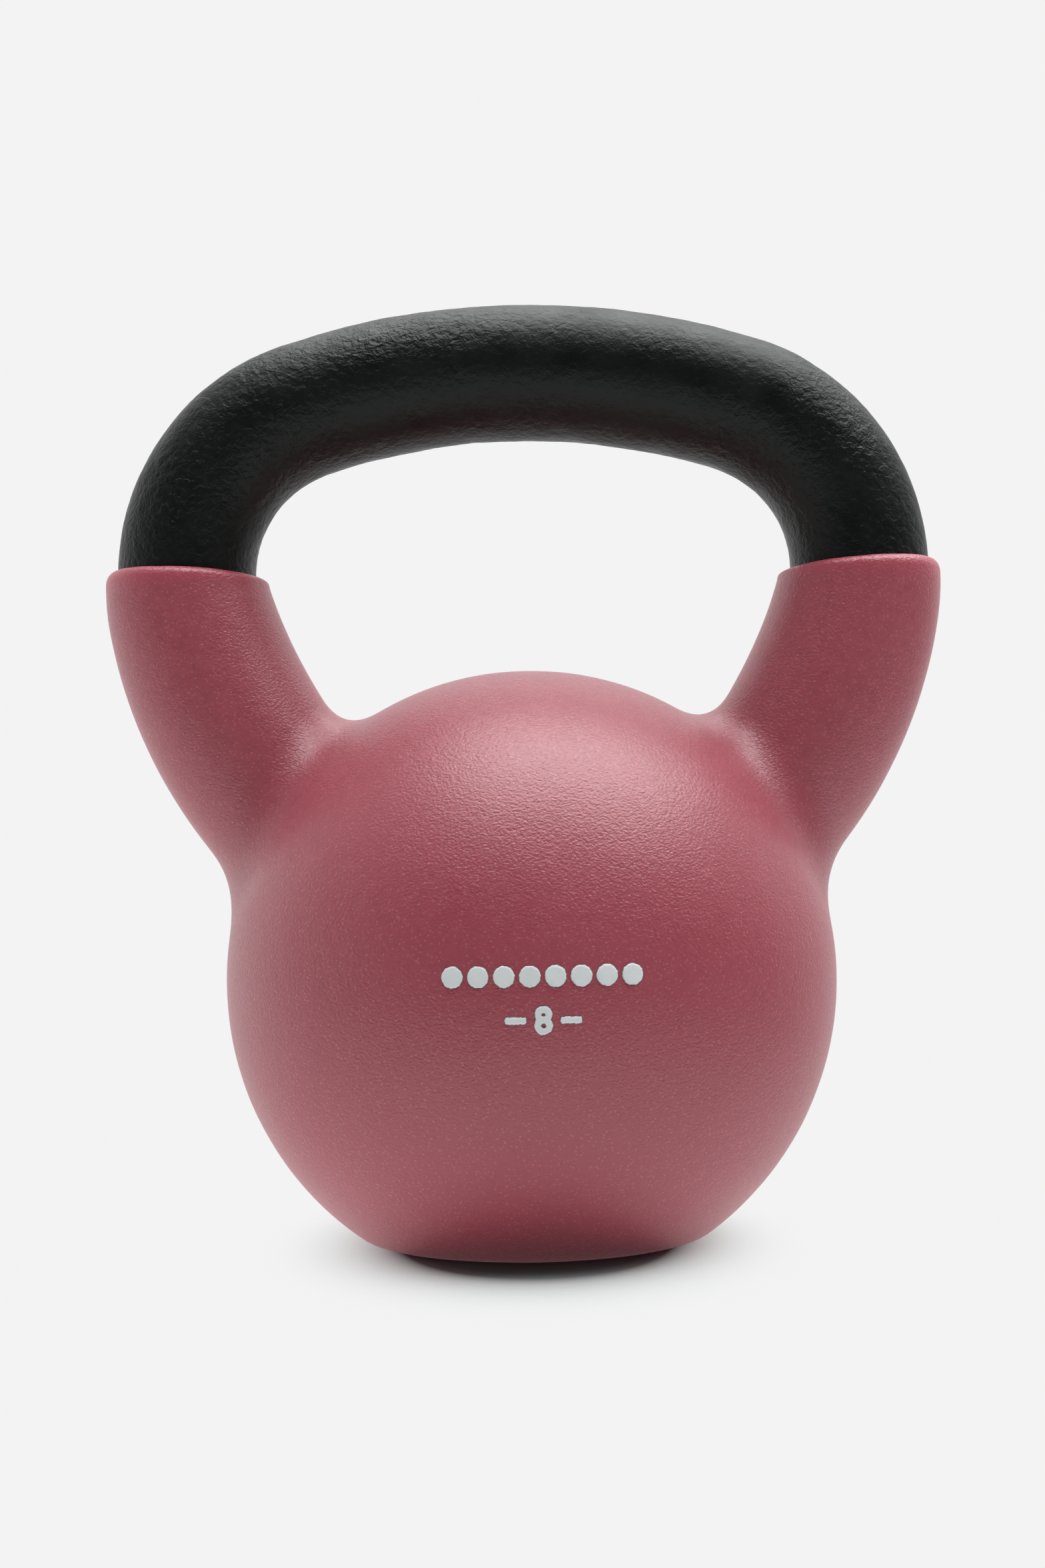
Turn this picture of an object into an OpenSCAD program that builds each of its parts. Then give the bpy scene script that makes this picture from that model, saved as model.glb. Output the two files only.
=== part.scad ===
// Kettlebell of 8 kg: one iron casting, dip-coated in vinyl over the ball and the horns,
// with black enamel on the bare grip between the two vinyl lips.
// The grip runs along X, the marks face -Y, and the flat base stands on z = 0.

/* [Grip] */
// Height of the grip's centreline at the middle
grip_z = 179.8; // [178:0.2:181]
// Bend radius of the nearly straight crown
crown_r = 146; // [140:1:152]
// Sweep of the crown, from the middle to one side, in degrees
crown_a = 18; // [17:0.5:19]
// Bend radius of the shoulders
shoulder_r = 36.8; // [36:0.2:37.6]
// Sweep of a shoulder, in degrees
shoulder_a = 85.6; // [84:0.2:87]
// Bend radius of the horns, where they lean in to the ball
horn_r = 98; // [92:1:104]
// Sweep of a horn, in degrees
horn_a = 26; // [24:0.5:28]
// Radius of the bare iron at the middle of the grip
grip_bar_r = 13.8; // [13:0.1:14.5]
// Radius of the bare iron at the vinyl lip
lip_bar_r = 14; // [13.5:0.1:14.5]
// Radius of the bare iron at the horn's root
root_bar_r = 15.9; // [15:0.1:17]
// Length over which the bar grows from the lip to the root
root_len = 43; // [36:1:50]

/* [Ball] */
// Horizontal radius of the finished ball
ball_r = 62.7; // [61.5:0.1:64]
// Height of the finished ball over its width
ball_stretch = 1.012; // [1:0.002:1.03]
// Height of the ball's centre above the floor
ball_z = 52.9; // [51:0.1:54]
// Width of the blend where the horns grow out of the ball
blend = 8.9; // [7:0.1:11]

/* [Vinyl jacket] */
// Thickness of the dipped vinyl
jacket_t = 2.7; // [2.2:0.1:3]
// Height of the lip, where the vinyl ends on the bar
lip_z = 137.6; // [136.6:0.1:138.2]
// How far the lip's inner side sits below its outer side, in degrees
lip_tilt = 2.6; // [0:0.1:5]

/* [Grip enamel] */
// Thickness of the black enamel on the grip
enamel_t = 0.25; // [0.15:0.05:0.5]

/* [Front marks] */
// Thickness of the raised print
print_t = 0.3; // [0.2:0.05:0.5]
// How far the print sits to the right of the ball's middle
marks_x = 1.1; // [-2:0.1:2]
// Height of the row of dots above the floor
dots_z = 55.4; // [53:0.1:57]
// Diameter of one dot
dot_d = 3.6; // [3:0.1:4.2]
// Length of the row of dots, over all
dots_w = 35.8; // [33:0.1:38]
// Height of the weight numeral's centre above the floor
weight_z = 47.6; // [46:0.1:49]
// Height of the weight numeral
numeral_h = 4.9; // [4.4:0.1:5.6]
// Width of a printed stroke
stroke = 1; // [0.8:0.05:1.3]
// Length of the bar on each side of the numeral
bar_len = 3.6; // [2.5:0.1:4.5]
// Overall width of the numeral and its two bars
weight_w = 13.5; // [12.6:0.1:15]

/* [Hidden] */

kilograms = 8;           // one dot for each kilogram
ball_zr = ball_r * ball_stretch;

// The centreline of the right half is three tangent arcs and a straight run into the ball.
// Angles are measured from +Z towards +X, and s is the length from the middle of the grip.
function dir(a) = [sin(a), cos(a)];
function arc_len(r, a) = r * a * PI / 180;
a1 = crown_a;
a2 = a1 + shoulder_a;
a3 = a2 + horn_a;
s1 = arc_len(crown_r, crown_a);
s2 = s1 + arc_len(shoulder_r, shoulder_a);
s3 = s2 + arc_len(horn_r, horn_a);
crown_c = [0, grip_z - crown_r];
shoulder_c = crown_c + (crown_r - shoulder_r) * dir(a1);
horn_c = shoulder_c + (shoulder_r - horn_r) * dir(a2);
root = horn_c + horn_r * dir(a3);
ARCS = [[crown_c, crown_r, 0, a1, 0], [shoulder_c, shoulder_r, a1, a2, s1], [horn_c, horn_r, a2, a3, s2]];

// The lip's height fixes where it lies on the shoulder arc.
lip_a = acos((lip_z - shoulder_c.y) / shoulder_r);
lip_s = s1 + arc_len(shoulder_r, lip_a - a1);
lip_turn = lip_a - 90 + lip_tilt;

function bar_r(s) = s < lip_s
    ? grip_bar_r + (lip_bar_r - grip_bar_r) * s / lip_s
    : lip_bar_r + (root_bar_r - lip_bar_r) * sin(90 * min(1, (s - lip_s) / root_len));

// Distance from p to the bar's skin, measured to one arc or to the straight run.
far = 1000;
function arc_gap(p, arc) = let (q = [abs(p.x), p.z] - arc[0], a = atan2(q.x, q.y))
    a < arc[2] || a > arc[3] ? far
    : norm([norm(q) - arc[1], p.y]) - bar_r(arc[4] + arc_len(arc[1], a - arc[2]));
function run_gap(p) = let (q = [abs(p.x), p.z] - root, t = q * [cos(a3), -sin(a3)])
    t < -0.001 ? far : norm([q * dir(a3), p.y]) - bar_r(s3 + t);
function bar_gap(p) = min(concat([for (arc = ARCS) arc_gap(p, arc)], run_gap(p)));

// Signed gap to the skin lying t outside the iron; the bar and the ball blend smoothly.
function gap(p, t) = let (
        bar = bar_gap(p) - t,
        ball = norm([p.x, p.y, (p.z - ball_z) / ball_stretch]) - ball_r + jacket_t - t,
        h = max(0, 1 - abs(bar - ball) / blend)
    ) min(bar, ball) - blend * h * h / 4;

// Ring planes stand on the XZ plane: [x, z, angle of the outward direction, reach, t].
function on_arc(arc, a, t) = let (
        c = arc[0] + arc[1] * dir(a), s = arc[4] + arc_len(arc[1], a - arc[2]),
        turn = lip_turn * (s < lip_s ? s / lip_s : (s3 - s) / (s3 - lip_s))
    ) [c.x, c.y, a - turn, 26, t];

// Planes through the ball fan about a pivot under the grip, from the horn's root to x = 0.
pivot_z = grip_z - grip_bar_r - 4;
root_fan = 35;
pivot_d = pivot_z - ball_z;
fan_0 = acos(min(1, pivot_d * sin(root_fan) / ball_r));
function on_fan(f, t) = [pivot_d * cos(f) * sin(f), pivot_z - pivot_d * cos(f) * cos(f), 180 - f, 72, t];

// From half way down the horn the planes lean over to the first plane of the fan.
turn_a = (a2 + a3) / 2;
function on_turn(k, t) = (1 - k) * on_arc(ARCS[2], turn_a, t) + k * on_fan(root_fan, t);
function fan_planes(count, t) = [for (i = [1:count])
    on_fan(asin(ball_r * cos(fan_0 + (90 - fan_0) * i / count) / pivot_d), t)];

function grip_planes(t) = concat(
    [for (i = [0:3]) on_arc(ARCS[0], a1 * i / 4, t)],
    [for (i = [0:9]) on_arc(ARCS[1], a1 + (lip_a - a1) * i / 9, t)]);
function horn_planes(t, turns) = concat(
    [on_arc(ARCS[1], (lip_a + 2 * a2) / 3, t)],
    [for (i = [0:3]) on_arc(ARCS[2], a2 + (turn_a - a2) * i / 3, t)],
    [for (i = [1:turns]) on_turn(i / turns, t)]);

// Furthest point inside the skin along a ray, by halving.
function reach(o, u, t, low, high, n) = let (mid = (low + high) / 2)
    n == 0 ? mid : gap(o + mid * u, t) < 0
        ? reach(o, u, t, mid, high, n - 1)
        : reach(o, u, t, low, mid, n - 1);
function ring(plane, n) = let (o = [plane[0], 0, plane[1]], out = dir(plane[2]))
    [for (i = [0:n - 1]) let (a = 360 * i / n, u = [cos(a) * out.x, sin(a), cos(a) * out.y])
        o + reach(o, u, plane[4], 0, plane[3], 17) * u];
function mirrored(rings) = [for (i = [len(rings) - 1:-1:0]) [for (p = rings[i]) [-p.x, p.y, p.z]]];
function tail(v, from) = [for (i = [from:len(v) - 1]) v[i]];
function head(v, drop) = [for (i = [0:len(v) - 1 - drop]) v[i]];

// A solid through rings of n points: a closed loop of rings, or an open row with two flat ends.
module ring_solid(rings, loop) {
    n = len(rings[0]);
    count = len(rings);
    quads = [for (j = [0:count - (loop ? 1 : 2)], i = [0:n - 1]) let (k = (j + 1) % count, m = (i + 1) % n)
        [j * n + i, j * n + m, k * n + m, k * n + i]];
    triangles = [for (q = quads) each [[q[0], q[1], q[2]], [q[0], q[2], q[3]]]];
    ends = loop ? [] : [[for (i = [n - 1:-1:0]) i], [for (i = [0:n - 1]) (count - 1) * n + i]];
    polyhedron([for (r = rings) each r], concat(triangles, ends));
}

module above(z) {
    translate([-100, -80, z]) cube([200, 160, 220]);
}

// Iron: every ring of the right half, then the left half mirrored back to the middle.
module bare_iron() {
    right = [for (p = concat(grip_planes(0), horn_planes(0, 6), fan_planes(10, 0))) ring(p, 32)];
    ring_solid(concat(right, mirrored(tail(head(right, 1), 1))), true);
}

module iron_casting() {
    color([0.22, 0.22, 0.23]) intersection() {
        bare_iron();
        above(jacket_t);
    }
}

// Vinyl: the lip starts under the iron's skin, rises as a rounded bead and becomes the jacket.
module jacket_skin() {
    bead = [[0, -1], [0, 0.4], [0.2, 0.75], [0.7, 0.95], [1.6, 1]];
    lip = [for (b = bead) on_arc(ARCS[1], lip_a + b[0] * jacket_t / shoulder_r * 180 / PI, b[1] * jacket_t)];
    right = [for (p = concat(lip, horn_planes(jacket_t, 7), fan_planes(19, jacket_t))) ring(p, 60)];
    ring_solid(concat(right, mirrored(head(right, 1))), false);
}

module vinyl_jacket() {
    color([0.58, 0.3, 0.36]) difference() {
        intersection() {
            jacket_skin();
            above(0);
        }
        iron_casting();
    }
}

module grip_enamel() {
    outer = [for (p = grip_planes(enamel_t)) ring(p, 32)];
    inner = [for (p = grip_planes(0)) ring(p, 32)];
    over = concat(mirrored(tail(outer, 1)), outer);
    under = concat(mirrored(tail(inner, 1)), inner);
    color([0.13, 0.14, 0.13])
        ring_solid(concat(over, [for (i = [len(under) - 1:-1:0]) under[i]]), true);
}

// Flat artwork in X and Z, wrapped on the ball's front.
module printed() {
    intersection() {
        translate([0, -ball_r / 2, ball_z]) rotate([90, 0, 0]) linear_extrude(ball_r) children();
        translate([0, ball_zr - ball_r, ball_z]) difference() {
            sphere(ball_zr + print_t, $fn = 200);
            sphere(ball_zr, $fn = 200);
        }
    }
}

module ring_mark(r) {
    difference() {
        circle(r, $fn = 48);
        circle(r - stroke, $fn = 48);
    }
}

module weight_print() {
    upper = 0.24 * numeral_h + stroke / 4;
    lower = numeral_h / 2 + stroke / 2 - upper;
    color([0.84, 0.86, 0.87]) printed() translate([marks_x, weight_z - ball_z]) {
        translate([0, numeral_h / 2 - upper]) ring_mark(upper);
        translate([0, lower - numeral_h / 2]) ring_mark(lower);
        for (side = [-1, 1])
            translate([side * (weight_w - bar_len) / 2, 0]) square([bar_len, stroke], center = true);
    }
}

module dot_row() {
    color([0.84, 0.86, 0.87]) printed() translate([marks_x, dots_z - ball_z])
        for (i = [0:kilograms - 1])
            translate([(dots_w - dot_d) * (i / (kilograms - 1) - 0.5), 0]) circle(dot_d / 2, $fn = 48);
}

iron_casting();
vinyl_jacket();
grip_enamel();
weight_print();
dot_row();
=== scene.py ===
"""An 8 kg kettlebell: one iron casting, a dipped vinyl jacket, black enamel on the grip, and raised print.

Every skin is the CAD's own surface at a finer grain: a bar swept along tangent arcs blends smoothly into a
ball. Shapes are worked out in millimetres in the CAD's frame and written as meshes in metres.
"""

import math
from functools import partial

import bpy
import numpy as np
from mathutils import Matrix, Vector, noise


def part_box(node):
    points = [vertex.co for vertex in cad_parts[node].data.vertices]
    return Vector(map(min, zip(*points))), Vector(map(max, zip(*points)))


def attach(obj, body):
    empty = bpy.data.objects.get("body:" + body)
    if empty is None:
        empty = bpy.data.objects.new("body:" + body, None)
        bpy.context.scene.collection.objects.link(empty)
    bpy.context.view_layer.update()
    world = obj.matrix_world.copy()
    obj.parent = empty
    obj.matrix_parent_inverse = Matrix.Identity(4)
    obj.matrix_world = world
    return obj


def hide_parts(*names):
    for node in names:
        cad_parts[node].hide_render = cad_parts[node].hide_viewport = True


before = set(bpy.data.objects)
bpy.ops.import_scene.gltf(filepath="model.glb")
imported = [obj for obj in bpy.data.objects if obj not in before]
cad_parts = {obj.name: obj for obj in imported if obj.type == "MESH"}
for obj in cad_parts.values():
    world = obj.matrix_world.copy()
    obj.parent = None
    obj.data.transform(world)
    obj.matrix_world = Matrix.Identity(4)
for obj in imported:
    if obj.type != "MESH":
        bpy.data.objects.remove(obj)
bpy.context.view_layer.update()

MM = 0.001
NUDGE = 0.02  # half the step over which slopes are measured, in millimetres

# ---------------------------------------------------------------- sizes, in millimetres

ENAMEL_T = 0.25
BAR_R = 13.8  # bare iron at the middle of the grip
LIP_BAR_R = 14.0
ROOT_BAR_R = 15.9
ROOT_LEN = 43.0  # the bar thickens over this length below the lip
CROWN = (146.0, 18.0)  # bend radius and sweep in degrees
SHOULDER = (36.8, 85.6)
HORN = (98.0, 26.0)
BALL_STRETCH = 1.012  # height over width
BALL_Z = 52.9
BLEND = 8.9  # how far the bar and the ball melt into each other
LIP_Z = 137.6
LIP_TILT = 2.6  # degrees

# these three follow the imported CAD
JACKET_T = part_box("iron_casting")[0].z / MM
BALL_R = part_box("vinyl_jacket")[1].y / MM
GRIP_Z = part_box("grip_enamel")[1].z / MM - ENAMEL_T - BAR_R


# ---------------------------------------------------------------- the skin as a field


def direction(angle):
    """Unit vector in the XZ plane; the angle runs from +Z towards +X."""
    return np.array([np.sin(angle), np.cos(angle)])


class Arc:
    """One stretch of the centreline, with the length along it at its start."""

    def __init__(self, centre, radius, start, sweep, length):
        self.centre, self.radius, self.start, self.length = centre, radius, start, length
        self.end = start + sweep
        self.end_length = length + radius * sweep


def make_arcs():
    """The right half's arcs from the middle of the grip, and the point where they end."""
    arcs, joint, angle, length = [], np.array([0.0, GRIP_Z]), 0.0, 0.0
    for radius, degrees in (CROWN, SHOULDER, HORN):
        arc = Arc(joint - radius * direction(angle), radius, angle, math.radians(degrees), length)
        joint, angle, length = arc.centre + radius * direction(arc.end), arc.end, arc.end_length
        arcs.append(arc)
    return arcs, joint


ARCS, ROOT = make_arcs()
SHOULDER_ARC, HORN_ARC = ARCS[1], ARCS[2]
LIP_ANGLE = math.acos((LIP_Z - SHOULDER_ARC.centre[1]) / SHOULDER_ARC.radius)
LIP_S = SHOULDER_ARC.length + SHOULDER_ARC.radius * (LIP_ANGLE - SHOULDER_ARC.start)
LIP_TURN = LIP_ANGLE - math.pi / 2 + math.radians(LIP_TILT)
ROOT_S = HORN_ARC.end_length
TURN_S = (HORN_ARC.length + ROOT_S) / 2  # half way down the horn


def bar_radius(s):
    """Radius of the bare bar at length s from the middle of the grip."""
    grip = BAR_R + (LIP_BAR_R - BAR_R) * s / LIP_S
    horn = LIP_BAR_R + (ROOT_BAR_R - LIP_BAR_R) * np.sin(math.pi / 2 * np.clip((s - LIP_S) / ROOT_LEN, 0, 1))
    return np.where(s < LIP_S, grip, horn)


def bar_gap(x, y, z):
    """Signed gap to the bare bar."""
    best = np.full(np.broadcast(x, y, z).shape, 1e3)
    for arc in ARCS:
        dx, dz = np.abs(x) - arc.centre[0], z - arc.centre[1]
        angle = np.arctan2(dx, dz)
        inside = (angle >= arc.start) & (angle <= arc.end)
        away = np.hypot(np.hypot(dx, dz) - arc.radius, y)
        gap = away - bar_radius(arc.length + arc.radius * (angle - arc.start))
        best = np.where(inside, np.minimum(best, gap), best)
    dx, dz = np.abs(x) - ROOT[0], z - ROOT[1]
    out = direction(HORN_ARC.end)
    along = dx * out[1] - dz * out[0]
    away = np.hypot(dx * out[0] + dz * out[1], y)
    return np.where(along > -1e-3, np.minimum(best, away - bar_radius(ROOT_S + along)), best)


def skin_gap(p, t, floor=None, floor_blend=0.0):
    """Signed gap to the skin that lies t outside the iron, cut off level at the floor."""
    x, y, z = p[..., 0], p[..., 1], p[..., 2]
    bar = bar_gap(x, y, z) - t
    ball = np.sqrt(x * x + y * y + ((z - BALL_Z) / BALL_STRETCH) ** 2) - BALL_R + JACKET_T - t
    near = np.maximum(0, 1 - np.abs(bar - ball) / BLEND)
    gap = np.minimum(bar, ball) - BLEND * near * near / 4
    if floor is None:
        return gap
    under = floor - z
    near = np.maximum(0, 1 - np.abs(gap - under) / max(floor_blend, 1e-6))
    return np.maximum(gap, under) + floor_blend * near * near / 4


def skin_normals(p, t, floor=None, floor_blend=0.0):
    """Directions in which the gap grows fastest."""
    parts = []
    for axis in range(3):
        shift = np.zeros(3)
        shift[axis] = NUDGE
        ahead, behind = (skin_gap(p + k * shift, t, floor, floor_blend) for k in (1, -1))
        parts.append(ahead - behind)
    normal = np.stack(parts, -1)
    return normal / np.linalg.norm(normal, axis=-1, keepdims=True)


# ---------------------------------------------------------------- rings round the loop

PIVOT_Z = GRIP_Z - BAR_R - 4.0  # the planes through the ball fan about this height
ROOT_FAN = math.radians(35.0)  # where the fan begins, from straight down
BAR_REACH, BALL_REACH = 26.0, 72.0  # how far out from a plane's middle the skin is looked for
TURN_LEN = 27.0  # path over which the planes lean over
PIVOT_D = PIVOT_Z - BALL_Z
FAN_START = math.acos(PIVOT_D * math.sin(ROOT_FAN) / BALL_R)


def plane_at(s):
    """Ring plane (x, z, angle, reach) across the centreline at length s from the middle."""
    arc = next((a for a in ARCS if s <= a.end_length), HORN_ARC)
    angle = arc.start + (s - arc.length) / arc.radius
    x, z = arc.centre + arc.radius * direction(angle)
    turn = LIP_TURN * (s / LIP_S if s < LIP_S else (ROOT_S - s) / (ROOT_S - LIP_S))
    return x, z, angle - turn, BAR_REACH


def fan_plane(fan):
    """Ring plane through the pivot, leaning by the fan's angle, with its middle nearest the ball's."""
    down = PIVOT_D * math.cos(fan)
    return down * math.sin(fan), PIVOT_Z - down * math.cos(fan), math.pi - fan, BALL_REACH


def turn_plane(k):
    """From half way down the horn, at k = 0, the planes lean over to the first of the fan, at k = 1."""
    return tuple((1 - k) * a + k * b for a, b in zip(plane_at(TURN_S), fan_plane(ROOT_FAN)))


def horn_and_ball(step, start=LIP_S):
    """Planes from just under the lip down the right horn and on to x = 0, about step apart."""
    down = max(2, round((TURN_S - start) / step))
    turn = max(3, round(TURN_LEN / step))
    ball = max(4, round(BALL_R * (math.pi / 2 - FAN_START) / step))
    planes = [plane_at(start + (TURN_S - start) * i / down) for i in range(1, down + 1)]
    planes += [turn_plane(i / turn) for i in range(1, turn + 1)]
    for i in range(1, ball + 1):
        spread = FAN_START + (math.pi / 2 - FAN_START) * i / ball
        planes.append(fan_plane(math.asin(min(1.0, BALL_R * math.cos(spread) / PIVOT_D))))
    return planes


def cast_rings(planes, offsets, around, floor=None, floor_blend=0.0):
    """Points of the skin on every ring plane, found by halving along rays, and their normals."""
    x, z, angle, reach = (np.array(c)[:, None] for c in zip(*planes))
    turn = 2 * math.pi * np.arange(around)[None] / around
    ray = np.stack([np.cos(turn) * np.sin(angle), np.sin(turn) + 0 * angle, np.cos(turn) * np.cos(angle)], -1)
    origin = np.stack([x, 0 * x, z], -1)
    offsets = np.broadcast_to(np.asarray(offsets, float), (len(planes),))[:, None]
    low, high = np.zeros(ray.shape[:2]), reach + np.zeros(ray.shape[:2])
    for _ in range(22):
        middle = (low + high) / 2
        outside = skin_gap(origin + middle[..., None] * ray, offsets, floor, floor_blend) > 0
        low, high = np.where(outside, low, middle), np.where(outside, middle, high)
    points = origin + low[..., None] * ray
    return points, skin_normals(points, offsets, floor, floor_blend)


def both_halves(rings, first_shared=False):
    """The right half's rings, then the left half's; the last lies on x = 0, and the first may too."""
    left = rings[-2::-1] if not first_shared else rings[-2:0:-1]
    return np.concatenate([rings, left * [-1, 1, 1]])


# ---------------------------------------------------------------- noise and mesh helpers


def noise_at(points, size, seed):
    """Smooth noise of about -1 to 1 with bumps of the given size, the same on every run."""
    flat = (points.reshape(-1, 3) / size + seed).tolist()
    return np.array([noise.noise(Vector(p)) for p in flat]).reshape(points.shape[:-1])


def ridges_at(points, size, seed):
    """The same noise folded into narrow ridges."""
    return 1 - 2 * np.abs(noise_at(points, size, seed))


def add_mesh(name, points, faces, material, shares=None):
    """A named piece; shares are values of 0 to 1 at each point that its material reads by name."""
    mesh = bpy.data.meshes.new(name)
    mesh.from_pydata((np.asarray(points).reshape(-1, 3) * MM).tolist(), [], faces)
    for key, values in (shares or {}).items():
        mesh.attributes.new(key, "FLOAT", "POINT").data.foreach_set("value", np.ravel(values))
    mesh.validate()
    mesh.update()
    mesh.shade_smooth()
    mesh.materials.append(material)
    piece = bpy.data.objects.new(name, mesh)
    bpy.context.scene.collection.objects.link(piece)
    return piece


def ring_faces(count, around):
    """Quads between neighbouring rings, and between the last ring and the first."""
    rows = np.arange(count)[:, None]
    here, there = rows * around, (rows + 1) % count * around
    i = np.arange(around)[None]
    j = (i + 1) % around
    return np.stack([here + i, here + j, there + j, there + i], -1).reshape(-1, 4).tolist()


def declare(piece, node):
    """The piece stands in for a CAD node, which is hidden, and hangs on the one rigid body."""
    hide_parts(node)
    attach(piece, "root")


# ---------------------------------------------------------------- materials


class Nodes:
    """Short calls for making and linking shader nodes in one tree."""

    def __init__(self, tree):
        self.tree = tree

    def node(self, kind, inputs=(), **settings):
        """A new node; each input is a number, a colour or another node's output."""
        made = self.tree.nodes.new(kind)
        for key, value in settings.items():
            setattr(made, key, value)
        for key, value in dict(inputs).items():
            self.put(made.inputs[key], value)
        return made

    def put(self, socket, value):
        if isinstance(value, bpy.types.NodeSocket):
            self.tree.links.new(value, socket)
        else:
            socket.default_value = value

    def noise(self, size_mm, detail=2.0, roughness=0.5, distortion=0.0, place=None):
        made = self.node("ShaderNodeTexNoise", {
            "Vector": place or self.place, "Scale": 1 / (size_mm * MM), "Detail": detail,
            "Roughness": roughness, "Distortion": distortion})
        return made.outputs["Fac"]

    def share(self, name):
        """One of the mesh's own values of 0 to 1."""
        return self.node("ShaderNodeAttribute", attribute_name=name).outputs["Fac"]

    def stretched(self, x, y, z):
        """The place scaled along the axes, then turned so that no noise lattice lines up with them."""
        inputs = {"Vector": self.place, "Scale": (x, y, z), "Rotation": (0.5, 0.7, 0.3)}
        return self.node("ShaderNodeMapping", inputs).outputs["Vector"]

    def cells(self, size_mm):
        """Distance to the nearest of scattered points, about one to a cell of this size."""
        made = self.node("ShaderNodeTexVoronoi", {"Vector": self.place, "Scale": 1 / (size_mm * MM)})
        return made.outputs["Distance"]

    def ramp(self, value, low, high, to_low=0.0, to_high=1.0, smooth=False):
        made = self.node("ShaderNodeMapRange", {
            "Value": value, "From Min": low, "From Max": high, "To Min": to_low, "To Max": to_high},
            interpolation_type="SMOOTHSTEP" if smooth else "LINEAR")
        return made.outputs["Result"]

    def mix(self, factor, a, b):
        """Between two colours, which are the mix node's sixth and seventh inputs."""
        return self.node("ShaderNodeMix", {0: factor, 6: a, 7: b}, data_type="RGBA").outputs[2]

    def mix_values(self, factor, a, b):
        """Between two numbers, which are its second and third."""
        return self.node("ShaderNodeMix", {0: factor, 2: a, 3: b}, data_type="FLOAT").outputs[0]

    def math(self, operation, a, b):
        return self.node("ShaderNodeMath", {0: a, 1: b}, operation=operation).outputs[0]

    def bump(self, height, depth_mm, normal=None):
        inputs = {"Height": height, "Strength": 1.0, "Distance": depth_mm * MM}
        if normal is not None:
            inputs["Normal"] = normal
        return self.node("ShaderNodeBump", inputs).outputs["Normal"]


class Shader(Nodes):
    """A node material with one Principled shader, placed by the object's own coordinates."""

    def __init__(self, name):
        self.material = bpy.data.materials.new(name)
        self.material.use_nodes = True
        super().__init__(self.material.node_tree)
        self.bsdf = self.tree.nodes["Principled BSDF"]
        self.place = self.node("ShaderNodeTexCoord").outputs["Object"]

    def set(self, **values):
        for key, value in values.items():
            self.put(self.bsdf.inputs[key.replace("_", " ")], value)


def vinyl():
    """Dusty burgundy dipped vinyl: fine wrinkle grain, soft mottling, fine pale dots painted as glints, a lip
    painted lighter and redder as a highlight, and painted shade and red bounce light towards the bottom.
    """
    s = Shader("dipped_vinyl")
    mottle = s.noise(2.2, detail=3.0, roughness=0.6, place=s.stretched(1, 1, 1))
    cloud = s.noise(22.0, detail=2.0)
    height = s.node("ShaderNodeSeparateXYZ", {0: s.place}).outputs["Z"]
    blotchy = s.math("MULTIPLY", s.ramp(mottle, 0.3, 0.7), s.ramp(height, 0.085, 0.115, 0.6, 1.0))
    base = s.mix(blotchy, (0.385, 0.062, 0.088, 1), (0.455, 0.084, 0.115, 1))
    base = s.mix(s.ramp(cloud, 0.35, 0.65, 0.0, 0.35), base, (0.44, 0.088, 0.118, 1))
    # painted shade and bounce light: the vinyl is painted darker and redder towards the bottom, standing in
    # for shade and red light bounced back from the floor
    painted_low_shade_and_bounce = s.ramp(height, 0.0, 0.075, 0.8, 0.0)
    base = s.mix(painted_low_shade_and_bounce, base, (0.44, 0.036, 0.068, 1))
    # painted glints: fine pale pink dots scattered over the vinyl stand in for sparkles of light off its
    # grain
    painted_glints = s.ramp(s.cells(0.85), 0.08, 0.3, 1.0, 0.0)
    base = s.mix(s.math("MULTIPLY", painted_glints, 0.3), base, (0.75, 0.34, 0.41, 1))
    # painted highlight: the bead of each lip is painted lighter and redder, as if catching light
    base = s.mix(s.math("MULTIPLY", s.share("lip"), 0.5), base, (0.56, 0.075, 0.115, 1))
    grain = s.stretched(0.85, 0.85, 1.15)
    wrinkle = s.noise(0.52, detail=1.0, roughness=0.5, distortion=0.3, place=grain)
    normal = s.bump(wrinkle, 0.135)
    normal = s.bump(mottle, 0.06, normal)
    s.set(Base_Color=base, Roughness=s.ramp(wrinkle, 0.3, 0.7, 0.34, 0.44), Normal=normal)
    s.set(Specular_IOR_Level=0.85, Sheen_Weight=0.05, Sheen_Roughness=0.5, Sheen_Tint=(1.0, 0.85, 0.88, 1))
    return s.material


def enamel():
    """Semi-gloss black enamel that follows the pebbly sand-cast grain under it."""
    s = Shader("black_enamel")
    pebbles = s.noise(1.5, detail=3.0, roughness=0.55, distortion=0.5)
    grit = s.noise(0.4, detail=2.0, roughness=0.5)
    patches = s.noise(9.0, detail=3.0, roughness=0.6)
    strength = s.ramp(s.noise(24.0, detail=1.0), 0.35, 0.65, 0.35, 1.0)
    base = s.mix(s.ramp(patches, 0.3, 0.7), (0.0035, 0.0047, 0.0042, 1), (0.0065, 0.0083, 0.0075, 1))
    # painted shade: scattered dark dots stand in for the shade inside small casting hollows, which have no
    # depth here
    painted_pit_shade = s.ramp(s.cells(2.4), 0.0, 0.1, 1.0, 0.0)
    base = s.mix(s.math("MULTIPLY", painted_pit_shade, 0.6), base, (0.002, 0.002, 0.002, 1))
    normal = s.bump(s.math("MULTIPLY", pebbles, strength), 0.5)
    normal = s.bump(grit, 0.06, normal)
    s.set(Base_Color=base, Roughness=s.ramp(patches, 0.3, 0.7, 0.34, 0.48), Normal=normal)
    s.set(Specular_IOR_Level=0.275, Specular_Tint=(0.93, 1.0, 0.97, 1))
    return s.material


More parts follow.
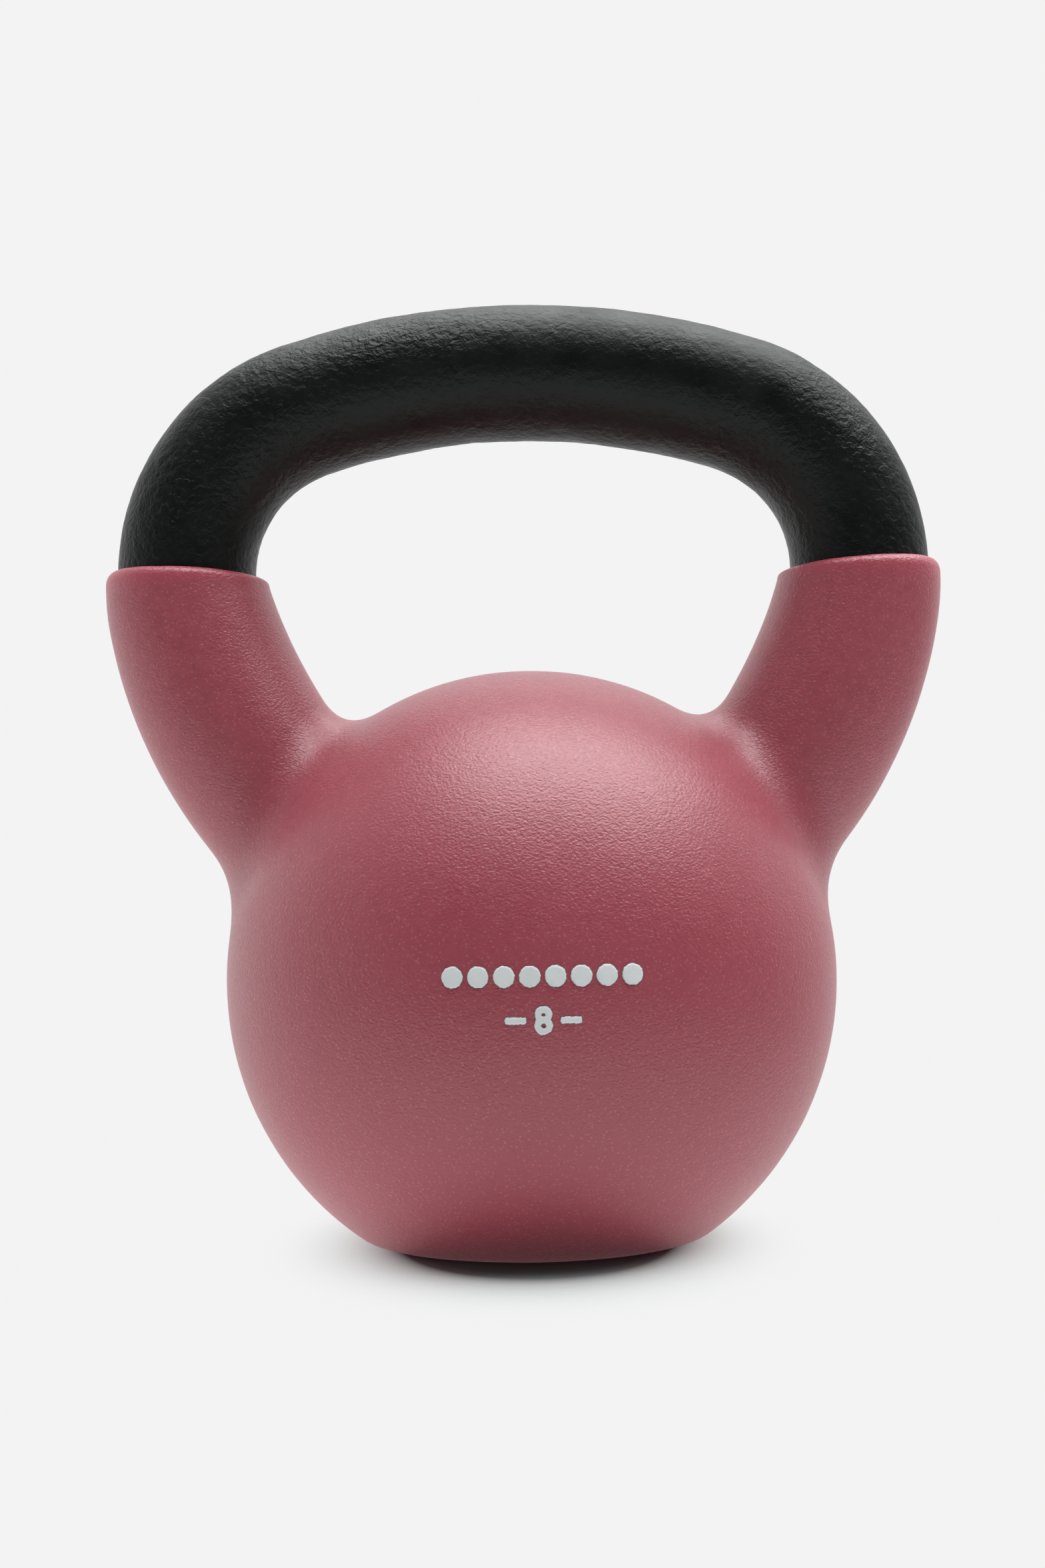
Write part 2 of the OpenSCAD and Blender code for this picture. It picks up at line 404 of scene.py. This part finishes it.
def iron():
    """Grey cast iron with a dark scale and a gritty sand-cast skin."""
    s = Shader("cast_iron_skin")
    grit = s.noise(0.6, detail=4.0, roughness=0.65)
    scale = s.noise(7.0, detail=4.0, roughness=0.6)
    base = s.mix(s.ramp(scale, 0.35, 0.65), (0.075, 0.077, 0.08, 1), (0.15, 0.14, 0.135, 1))
    s.set(Base_Color=base, Roughness=s.ramp(scale, 0.3, 0.7, 0.5, 0.75), Normal=s.bump(grit, 0.15))
    s.set(Metallic=0.85)
    return s.material


def ink():
    """Off-white print, slightly chalky, with a thin dark rim around it painted as the shadow of its raised
    sides.
    """
    s = Shader("pale_ink")
    stipple = s.noise(0.35, detail=3.0, roughness=0.6)
    tone = s.noise(2.0, detail=2.0)
    base = s.mix(s.ramp(tone, 0.3, 0.7), (0.86, 0.92, 0.93, 1), (0.91, 0.96, 0.97, 1))
    # painted shadow: the flat rim round the ink is painted dark maroon for the shade along the raised ink's
    # sides
    base = s.mix(s.share("rim_shade"), base, (0.11, 0.026, 0.036, 1))
    s.set(Base_Color=base, Roughness=s.ramp(stipple, 0.3, 0.7, 0.5, 0.65), Normal=s.bump(stipple, 0.05))
    return s.material


VINYL, ENAMEL, IRON, INK = vinyl(), enamel(), iron(), ink()

# ---------------------------------------------------------------- casting


def cast_lumps(points):
    """How far the sand-cast skin stands proud of its true shape, in millimetres."""
    broad = 0.18 * noise_at(points, 17.0, 3.1)
    lumps = 0.07 * noise_at(points, 4.6, 8.4)
    wrinkles = 0.05 * ridges_at(points, 2.0, 5.7)
    return broad + lumps + wrinkles


def make_casting():
    """The whole iron skin, true and flat where it stands on the jacket's base."""
    around, step, along_grip = 120, 2.4, 40
    planes = [plane_at(LIP_S * i / along_grip) for i in range(along_grip + 1)] + horn_and_ball(step)
    points, normals = cast_rings(planes, 0.0, around, floor=JACKET_T)
    points, normals = both_halves(points, True), both_halves(normals, True)
    proud = np.where(points[..., 2] > JACKET_T + 0.05, cast_lumps(points), 0.0)
    points = points + proud[..., None] * normals
    piece = add_mesh("iron_body", points, ring_faces(len(points), around), IRON)
    declare(piece, "iron_casting")


# ---------------------------------------------------------------- grip enamel


def make_enamel():
    """A closed film: a fine outer skin from lip to lip, and a coarser one just inside the iron's."""
    around, along, coarser = 200, 170, 6
    hidden = 1.0  # the film runs this far under the vinyl lip
    sunk = 0.05
    planes = [plane_at((LIP_S + hidden) * i / along) for i in range(along, -1, -1)]
    skin, normals = cast_rings(planes, ENAMEL_T, around)
    skin, normals = both_halves(skin), both_halves(normals)
    skin = skin + cast_lumps(skin)[..., None] * normals
    inner, normals = cast_rings(planes[::coarser] + planes[-1:], 0.0, around)
    inner, normals = both_halves(inner), both_halves(normals)
    inner = (inner + (cast_lumps(inner) - sunk)[..., None] * normals)[::-1]
    points = np.concatenate([skin, inner])
    piece = add_mesh("grip_coat", points, ring_faces(len(points), around), ENAMEL)
    declare(piece, "grip_enamel")


# ---------------------------------------------------------------- vinyl jacket


def lip_profile():
    """(distance below the lip plane, share of the thickness) from the iron out over the rounded bead."""
    bead, steps = 1.9, 9
    profile = [(0.35, 0.0), (0.1, 0.12), (0.0, 0.3)]
    for i in range(1, steps + 1):
        turn = math.pi / 2 * i / steps
        profile.append((bead * (1 - math.cos(turn)), 1 - bead / JACKET_T * (1 - math.sin(turn))))
    return profile


def dip_waves(points):
    """Slow unevenness of the dipped coat."""
    return 0.10 * noise_at(points, 26.0, 1.9) + 0.045 * noise_at(points, 9.0, 6.2)


def make_jacket():
    """A closed shell: a fine outer skin with a bead at each lip, and a coarse one against the iron."""
    around, step, under_step = 300, 1.15, 7.0
    edge_round = 1.3  # of the base
    settle = 6.0  # the coat's waves die out over this height, so that the base stays flat
    ragged = 6.0  # the lip's raggedness dies out over this height
    profile = lip_profile()
    planes = [plane_at(LIP_S + d) for d, _ in profile] + horn_and_ball(step, LIP_S + profile[-1][0])
    offsets = [share * JACKET_T for _, share in profile] + [JACKET_T] * (len(planes) - len(profile))
    skin, normals = cast_rings(planes, offsets, around, floor=0.0, floor_blend=edge_round)
    skin, normals = both_halves(skin), both_halves(normals)
    skin = skin + dip_waves(skin)[..., None] * normals * np.clip(skin[..., 2:3] / settle, 0, 1)
    near_lip = np.clip(1 - (LIP_Z + 1.5 - skin[..., 2]) / ragged, 0, 1)
    skin[..., 2] += near_lip * (0.16 * noise_at(skin, 7.0, 4.4) + 0.05 * noise_at(skin, 1.6, 2.2))
    start = LIP_S + 0.8
    under, _ = cast_rings([plane_at(start)] + horn_and_ball(under_step, start), 0.0, around, floor=JACKET_T)
    under = both_halves(under)[::-1]
    below = np.arange(len(planes)) - len(profile) + 1.0  # rings below the bead
    # share of the painted lip highlight: full on the bead, gone two rings below it
    lip = np.clip(1 - below / 2.0, 0, 1)
    lip = np.concatenate([lip, lip[-2::-1], np.ones(len(under))])
    points = np.concatenate([skin, under])
    shares = {"lip": lip[:, None] * np.ones(around)}
    piece = add_mesh("vinyl_skin", points, ring_faces(len(points), around), VINYL, shares)
    declare(piece, "vinyl_jacket")


# ---------------------------------------------------------------- raised print

PRINT_T = 0.3
STROKE = 1.0
SPREAD = 0.08  # the ink runs this far past its artwork
SHADE_RIM_W = 0.13  # width of the flat rim round the ink, painted dark as the ink's shadow
MARKS_X = 1.1  # the marks stand this far to the right of the middle
DOTS_Z, DOT_D, DOTS_W, DOTS = 55.4, 3.6, 35.8, 8
WEIGHT_Z, NUMERAL_H, BAR_LEN, WEIGHT_W = 47.6, 4.9, 3.6, 13.5


def ring_shape(u, v, cx, cy, radius):
    """Signed distance to a ring of the stroke's width whose outer radius is given."""
    return np.abs(np.hypot(u - cx, v - cy) - radius + STROKE / 2) - STROKE / 2


def dot_shape(u, v, cx):
    return np.hypot(u - cx, v) - DOT_D / 2


def bar_shape(u, v, cx):
    """Signed distance to a short level bar with rounded corners."""
    corner = 0.3
    dx, dy = np.abs(u - cx) - BAR_LEN / 2 + corner, np.abs(v) - STROKE / 2 + corner
    outside = np.hypot(np.maximum(dx, 0), np.maximum(dy, 0))
    return outside + np.minimum(np.maximum(dx, dy), 0) - corner


def numeral_shape(u, v):
    """An 8 of two rings that share a stroke, the upper one a little smaller."""
    upper = 0.24 * NUMERAL_H + STROKE / 4
    lower = NUMERAL_H / 2 + STROKE / 2 - upper
    return np.minimum(
        ring_shape(u, v, 0, NUMERAL_H / 2 - upper, upper), ring_shape(u, v, 0, lower - NUMERAL_H / 2, lower))


def on_ball(u, z, proud):
    """Points over the ball's front, proud of the vinyl."""
    rise = (z - BALL_Z) / BALL_STRETCH
    points = np.stack([u, -np.sqrt(BALL_R**2 - u**2 - rise**2), z], -1)
    normal = np.stack([points[..., 0], points[..., 1], rise / BALL_STRETCH], -1)
    normal /= np.linalg.norm(normal, axis=-1, keepdims=True)
    return points + (dip_waves(points) + proud)[..., None] * normal


def print_patch(shape, u_mid, v_mid, width, height, z_mid, seed):
    """A raised, slightly ragged patch of ink in a thin flat rim painted as its shadow: points, faces and each
    point's share of painted shadow.
    """
    cell, margin = 0.1, 0.6
    us = np.arange(-width / 2 - margin, width / 2 + margin, cell) + u_mid
    vs = np.arange(-height / 2 - margin, height / 2 + margin, cell) + v_mid
    u, v = np.meshgrid(us, vs, indexing="ij")

    def ragged(a, b):
        flat = np.stack([a, b, np.full_like(a, seed)], -1)
        return shape(a, b) - SPREAD + 0.1 * noise_at(flat, 0.55, seed) + 0.04 * noise_at(flat, 0.25, seed)

    middle = ragged((u[:-1, :-1] + u[1:, 1:]) / 2, (v[:-1, :-1] + v[1:, 1:]) / 2)
    kept = middle < SHADE_RIM_W
    used = np.zeros(u.shape, int)
    for di in (0, 1):
        for dj in (0, 1):
            used[di:di + kept.shape[0], dj:dj + kept.shape[1]] += kept
    rim = (used > 0) & (used < 4)
    for _ in range(2):  # bring the rim's points onto the edge's own outline
        here = ragged(u, v) - SHADE_RIM_W
        du = (ragged(u + NUDGE, v) - ragged(u - NUDGE, v)) / (2 * NUDGE)
        dv = (ragged(u, v + NUDGE) - ragged(u, v - NUDGE)) / (2 * NUDGE)
        slope = np.maximum(du * du + dv * dv, 0.25)
        move = np.where(rim, np.clip(here, -cell, cell) / slope, 0)
        u, v = u - move * du, v - move * dv
    depth = -ragged(u, v)
    # each point's share of painted shadow: full on the rim round the ink, none on the ink
    rim_shade = np.clip(-depth / 0.05, 0, 1)
    proud = np.where(depth > 0, PRINT_T * (0.55 + 0.45 * np.sqrt(np.clip(depth / 0.3, 0, 1))), 0.03)
    top, bottom = on_ball(u + MARKS_X, v + z_mid, proud), on_ball(u + MARKS_X, v + z_mid, -0.12)
    number = -np.ones(u.shape, int)
    number[used > 0] = np.arange((used > 0).sum())
    total = int((used > 0).sum())
    points = np.concatenate([top[used > 0], bottom[used > 0]])
    faces = []
    for i, j in zip(*np.nonzero(kept)):
        quad = [int(q) for q in (number[i, j], number[i + 1, j], number[i + 1, j + 1], number[i, j + 1])]
        faces += [quad, [q + total for q in quad[::-1]]]
        sides = (((i, j - 1), quad[0], quad[1]), ((i + 1, j), quad[1], quad[2]),
                 ((i, j + 1), quad[2], quad[3]), ((i - 1, j), quad[3], quad[0]))
        for (a, b), p, q in sides:
            if not (0 <= a < kept.shape[0] and 0 <= b < kept.shape[1] and kept[a, b]):
                faces.append([q, p, p + total, q + total])
    return points, faces, np.tile(rim_shade[used > 0], 2)


def make_print(name, node, patches):
    """One piece out of several separate patches."""
    faces, base = [], 0
    for made, quads, _ in patches:
        faces += [[q + base for q in quad] for quad in quads]
        base += len(made)
    points, rim_shade = (np.concatenate([patch[i] for patch in patches]) for i in (0, 2))
    piece = add_mesh(name, points, faces, INK, {"rim_shade": rim_shade})
    declare(piece, node)


def make_dots():
    patches = []
    for i in range(DOTS):
        centre = (DOTS_W - DOT_D) * (i / (DOTS - 1) - 0.5)
        shape = partial(dot_shape, cx=centre)
        patches.append(print_patch(shape, centre, 0.0, DOT_D, DOT_D, DOTS_Z, 3.0 + i))
    make_print("dot_marks", "dot_row", patches)


def make_weight():
    patches = [print_patch(numeral_shape, 0.0, 0.0, NUMERAL_H * 0.8, NUMERAL_H, WEIGHT_Z, 20.0)]
    for side in (-1, 1):
        centre = side * (WEIGHT_W - BAR_LEN) / 2
        shape = partial(bar_shape, cx=centre)
        patches.append(print_patch(shape, centre, 0.0, BAR_LEN, STROKE, WEIGHT_Z, 30.0 + side))
    make_print("weight_marks", "weight_print", patches)


make_casting()
make_enamel()
make_jacket()
make_dots()
make_weight()

# ---------------------------------------------------------------- stage, light and camera

BACKDROP = 0.896  # linear value of the plain pale backdrop


def make_floor():
    """A pale patch that takes the contact shadow, with a darker core painted on near the contact, longer
    towards the front, and fades into the backdrop.
    """
    s = Shader("pale_floor")
    inner, outer, slender, forward, fade = 0.028, 0.060, 1.6, 0.004, 2.9
    bounce = 0.84  # how much of the patch the object itself sees
    squeezed = s.stretched(1, 1 / slender, 1)
    away = s.node("ShaderNodeVectorMath", {0: squeezed}, operation="LENGTH").outputs["Value"]
    keep = s.math("POWER", s.ramp(away, inner, outer, 1.0, 0.0), fade)
    seen = s.node("ShaderNodeLightPath").outputs["Is Camera Ray"]
    keep = s.math("MULTIPLY", keep, s.ramp(seen, 0.0, 1.0, bounce, 1.0))
    clear = s.node("ShaderNodeBsdfTransparent")
    # painted shadow: the floor's colour turns dark close to the middle, a denser contact shadow painted on;
    # both colours lean to cyan to cancel the red light the vinyl bounces onto the floor
    tone = s.mix(s.ramp(away, 0.025, 0.032), (0.165, 0.225, 0.225, 1), (0.44, 0.50, 0.495, 1))
    shade = s.node("ShaderNodeBsdfDiffuse", {"Color": tone})
    mixed = s.node("ShaderNodeMixShader", {0: keep, 1: clear.outputs[0], 2: shade.outputs[0]})
    s.put(s.tree.nodes["Material Output"].inputs["Surface"], mixed.outputs[0])
    turns = np.linspace(0, 2 * math.pi, 96, False)
    rim = [(outer * math.cos(a), slender * outer * math.sin(a), 0.0) for a in turns]
    mesh = bpy.data.meshes.new("floor")
    mesh.from_pydata(rim, [], [list(range(len(rim)))])
    mesh.materials.append(s.material)
    floor = bpy.data.objects.new("floor", mesh)
    floor.location = (0, -forward, -0.0001)
    bpy.context.scene.collection.objects.link(floor)


def make_world():
    """Plain to the camera; as light, a box overhead, a white sweep below and behind, a dark front."""
    world = bpy.data.worlds.new("studio")
    world.use_nodes = True
    bpy.context.scene.world = world
    world.node_tree.nodes.clear()
    s = Nodes(world.node_tree)
    place = s.node("ShaderNodeTexCoord").outputs["Generated"]
    x, y, z = s.node("ShaderNodeSeparateXYZ", {0: place}).outputs
    # walls: brighter to the back and, low down, to the left; white below
    lean = s.ramp(z, 0.0, 0.5, 0.46, -0.08)
    leaning = s.math("SUBTRACT", y, s.math("MULTIPLY", x, lean))
    walls = s.ramp(leaning, -0.72, 1.0, 0.10, 1.05, smooth=True)
    below = s.ramp(z, -0.45, -0.08, 1.0, 0.0, smooth=True)
    walls = s.mix_values(below, walls, 1.0)
    # soft box: u to the right and v to the back on a level ceiling one unit up
    up = s.math("MAXIMUM", z, 0.05)
    u, v = s.math("DIVIDE", x, up), s.math("DIVIDE", y, up)
    left, right = s.ramp(u, -0.5, -0.2, smooth=True), s.ramp(u, 0.75, 1.1, 1.0, 0.0, smooth=True)
    front, back = s.ramp(v, -0.63, -0.34, smooth=True), s.ramp(v, 0.05, 1.2, 4.6, 0.0, smooth=True)
    box = s.math("MULTIPLY", s.math("MULTIPLY", s.math("MULTIPLY", left, right), front), back)
    light = s.node("ShaderNodeBackground", {"Color": (1, 1, 1, 1), "Strength": s.math("ADD", walls, box)})
    plain = s.node("ShaderNodeBackground", {"Color": (BACKDROP, BACKDROP, BACKDROP, 1)})
    seen = s.node("ShaderNodeLightPath").outputs["Is Camera Ray"]
    mixed = s.node("ShaderNodeMixShader", {0: seen, 1: light.outputs[0], 2: plain.outputs[0]})
    s.node("ShaderNodeOutputWorld", {"Surface": mixed.outputs[0]})


def make_camera():
    """Slightly to the object's left, just above the ball's middle, and tilted up a little."""
    distance, height, aside = 0.4242, 0.0700, -0.0011
    yaw, pitch, roll = math.radians(0.685), math.radians(3.10), math.radians(1.067)
    data = bpy.data.cameras.new("camera")
    data.sensor_width, data.lens = 36.0, 46.69
    camera = bpy.data.objects.new("camera", data)
    turn = Matrix.Rotation(-yaw, 4, "Z")
    aim = Matrix.Rotation(math.pi / 2 + pitch, 4, "X") @ Matrix.Rotation(-roll, 4, "Z")
    camera.matrix_world = turn @ Matrix.Translation((aside, -distance, height)) @ aim
    bpy.context.scene.collection.objects.link(camera)
    bpy.context.scene.camera = camera


make_floor()
make_world()
make_camera()
bpy.context.scene.view_settings.view_transform = "Standard"
